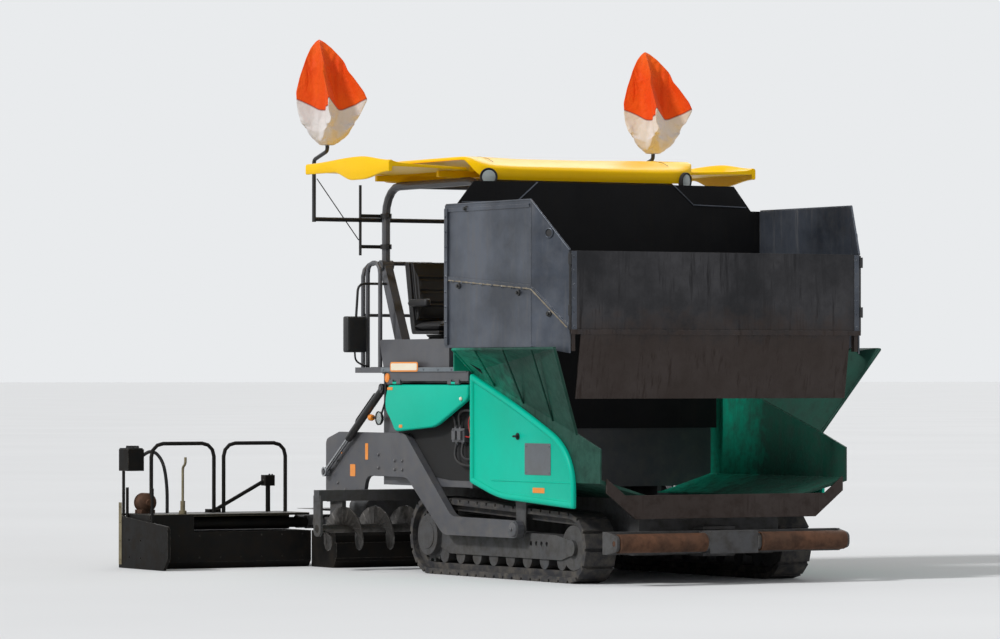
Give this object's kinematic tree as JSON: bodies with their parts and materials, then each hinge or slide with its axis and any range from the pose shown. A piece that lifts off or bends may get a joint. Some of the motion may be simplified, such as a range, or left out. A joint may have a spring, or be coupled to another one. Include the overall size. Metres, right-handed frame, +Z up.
{
  "type": "asphalt paver",
  "caption": "Tracked asphalt paver with an insert hopper, conveyors, augers, a raised operator platform under a yellow roof, and an extending screed.",
  "frame": {"origin": "centre of the bounding box in plan, on the ground", "axes": "+X forwards (towards the hopper), +Y to the machine's left, +Z up"},
  "size_m": [5.97, 5.9, 4.8003],
  "materials": {
    "green_paint": "satin",
    "grey_paint": "satin",
    "dark_paint": "matt",
    "yellow_shell": "gloss",
    "worn_steel": "worn",
    "galvanised": "satin",
    "dark_steel": "worn",
    "rusty_steel": "worn",
    "track_rubber": "matt",
    "black_plastic": "matt",
    "seat_cover": "matt",
    "chrome": "polished",
    "lamp_cover": "matt"
  },
  "bodies": {
    "tractor": {"chassis": "grey_paint", "conveyor": "worn_steel", "track_frames": "grey_paint", "track_right": "track_rubber", "track_left": "track_rubber", "engine": "dark_paint", "body_frame": "grey_paint", "engine_hood": "grey_paint", "flank_right": "green_paint", "flank_left": "green_paint", "wing_right": "green_paint", "wing_left": "green_paint", "hopper_apron": "dark_steel", "insert_back": "dark_steel", "insert_sides": "galvanised", "insert_front": "dark_steel", "auger_frame": "grey_paint", "platform_rail": "grey_paint", "console": "black_plastic", "seats": "seat_cover", "ladder": "grey_paint", "exhaust": "worn_steel", "mirrors": "black_plastic", "roof_frame": "grey_paint", "roof": "yellow_shell", "light_masts": "dark_paint", "light_covers": "lamp_cover"},
    "push_beam": {"push_beam": "grey_paint"},
    "screed": {"tow_arm_right": "grey_paint", "tow_arm_left": "grey_paint", "screed_main": "dark_steel", "screed_frame": "grey_paint"},
    "service_door_right": {"service_door_right": "green_paint"},
    "push_roller_right": {"push_roller_right": "rusty_steel"},
    "auger_right": {"auger_right": "worn_steel"},
    "extension_right": {"extension_right": "dark_steel", "end_plate_right": "dark_steel"},
    "lift_barrel_right": {"lift_barrel_right": "dark_paint"},
    "lift_rod_right": {"lift_rod_right": "chrome"},
    "awning_right": {"awning_right": "yellow_shell"},
    "service_door_left": {"service_door_left": "green_paint"},
    "push_roller_left": {"push_roller_left": "rusty_steel"},
    "auger_left": {"auger_left": "worn_steel"},
    "extension_left": {"extension_left": "dark_steel", "end_plate_left": "dark_steel"},
    "lift_barrel_left": {"lift_barrel_left": "dark_paint"},
    "lift_rod_left": {"lift_rod_left": "chrome"},
    "awning_left": {"awning_left": "yellow_shell"}
  },
  "joints": [
    {"name": "push_beam_pivot", "type": "hinge", "parent": "tractor", "child": "push_beam", "pos_m": [2.66, 0, 0.36], "axis": [0, 0, 1], "range_deg": [-8, 8]},
    {"name": "screed_lift", "type": "hinge", "parent": "tractor", "child": "screed", "pos_m": [1.35, 0, 0.44], "axis": [0, 1, 0], "range_deg": [0, 6]},
    {"name": "service_door_right_hinge", "type": "hinge", "parent": "tractor", "child": "service_door_right", "pos_m": [-0.12, -1.275, 1.699], "axis": [-1, 0, 0], "range_deg": [0, 85]},
    {"name": "push_roller_right_spin", "type": "hinge", "parent": "push_beam", "child": "push_roller_right", "pos_m": [2.92, -0.7, 0.36], "axis": [0, 1, 0], "continuous": true},
    {"name": "auger_right_spin", "type": "hinge", "parent": "tractor", "child": "auger_right", "pos_m": [-1.35, -0.89, 0.38], "axis": [0, 1, 0], "continuous": true},
    {"name": "extension_right_slide", "type": "slide", "parent": "screed", "child": "extension_right", "axis": [0, -1, 0], "range_m": [-1.22, 0]},
    {"name": "lift_barrel_right_hinge", "type": "hinge", "parent": "tractor", "child": "lift_barrel_right", "pos_m": [-1, -1.238, 1.65], "axis": [0, 1, 0], "range_deg": [0, 13.1]},
    {"name": "lift_rod_right_slide", "type": "slide", "parent": "lift_barrel_right", "child": "lift_rod_right", "axis": [-0.824, 0, -0.5665], "range_m": [-0.235, 0]},
    {"name": "awning_right_slide", "type": "slide", "parent": "tractor", "child": "awning_right", "axis": [0, -1, 0], "range_m": [-0.6, 0]},
    {"name": "service_door_left_hinge", "type": "hinge", "parent": "tractor", "child": "service_door_left", "pos_m": [-0.12, 1.275, 1.699], "axis": [1, 0, 0], "range_deg": [0, 85]},
    {"name": "push_roller_left_spin", "type": "hinge", "parent": "push_beam", "child": "push_roller_left", "pos_m": [2.92, 0.7, 0.36], "axis": [0, 1, 0], "continuous": true},
    {"name": "auger_left_spin", "type": "hinge", "parent": "tractor", "child": "auger_left", "pos_m": [-1.35, 0.89, 0.38], "axis": [0, 1, 0], "continuous": true},
    {"name": "extension_left_slide", "type": "slide", "parent": "screed", "child": "extension_left", "axis": [0, 1, 0], "range_m": [-1.22, 0]},
    {"name": "lift_barrel_left_hinge", "type": "hinge", "parent": "tractor", "child": "lift_barrel_left", "pos_m": [-1, 1.238, 1.65], "axis": [0, 1, 0], "range_deg": [0, 13.1]},
    {"name": "lift_rod_left_slide", "type": "slide", "parent": "lift_barrel_left", "child": "lift_rod_left", "axis": [-0.824, 0, -0.5665], "range_m": [-0.235, 0]},
    {"name": "awning_left_slide", "type": "slide", "parent": "tractor", "child": "awning_left", "axis": [0, 1, 0], "range_m": [-0.6, 0]}
  ],
  "couplings": [
    {"joint": "lift_barrel_right_hinge", "follows": "screed_lift", "ratio": 2.159},
    {"joint": "lift_rod_right_slide", "follows": "screed_lift", "m_per_rad": -2.204},
    {"joint": "lift_barrel_left_hinge", "follows": "screed_lift", "ratio": 2.159},
    {"joint": "lift_rod_left_slide", "follows": "screed_lift", "m_per_rad": -2.204}
  ]
}
